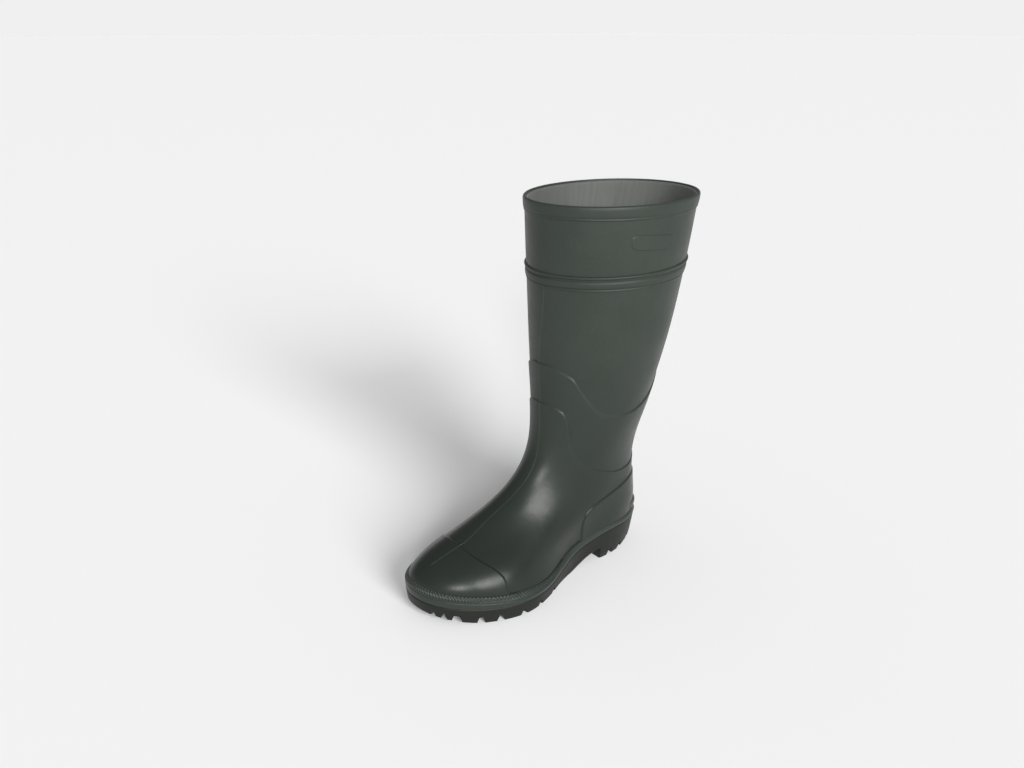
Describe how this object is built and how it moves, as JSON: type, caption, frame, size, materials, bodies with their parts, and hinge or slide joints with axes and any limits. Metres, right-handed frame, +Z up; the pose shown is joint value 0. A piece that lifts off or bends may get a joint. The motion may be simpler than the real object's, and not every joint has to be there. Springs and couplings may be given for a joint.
{
  "type": "rubber rain boot",
  "caption": "Tall rubber rain boot with textile lining, raised ankle, foot, toe and heel layers, lugged black outsole and a loose footbed.",
  "frame": {"origin": "centre of the bounding box in plan, on the ground under the boot", "axes": "+Z up the leg, -Y towards the toe, +X towards the outer side of the left foot"},
  "size_m": [0.154, 0.3405, 0.3884],
  "materials": {
    "upper_rubber": "satin dark green rubber, slightly cloudy, with a soft sheen",
    "overlay_rubber": "satin dark green rubber with softly rounded raised edges",
    "band_rubber": "satin dark green rubber strips, knurled round the toe",
    "sole_rubber": "matt black rubber tread",
    "stiffener": "stiff impregnated sheet, hidden",
    "board": "fibre insole board, hidden",
    "foam": "dark cellular foam",
    "steel": "rolled steel strip, hidden",
    "lining": "grey knitted textile lining",
    "footbed_cloth": "grey woven footbed cover"
  },
  "bodies": {
    "boot": {"upper_shell": "upper_rubber", "ankle_overlay": "overlay_rubber", "foot_overlay": "overlay_rubber", "toe_cap": "overlay_rubber", "heel_counter": "overlay_rubber", "rim_band": "band_rubber", "trim_band": "band_rubber", "bead_ring": "band_rubber", "foxing_strip": "band_rubber", "toe_bumper": "band_rubber", "kick_off_spur": "band_rubber", "side_pad": "band_rubber", "outsole": "sole_rubber", "toe_puff": "stiffener", "heel_stiffener": "stiffener", "insole_board": "board", "forepart_filler": "foam", "heel_wedge": "foam", "shank": "steel", "lining_leg": "lining", "lining_foot": "lining", "lining_ankle_tape": "lining", "lining_sock": "lining"},
    "footbed": {"footbed_foam": "foam", "footbed_cover": "footbed_cloth"}
  },
  "joints": [
    {"name": "footbed_lift", "type": "hinge", "parent": "boot", "child": "footbed", "pos_m": [0, -0.142, 0.0265], "axis": [1, 0, 0], "range_deg": [0, 10]}
  ]
}
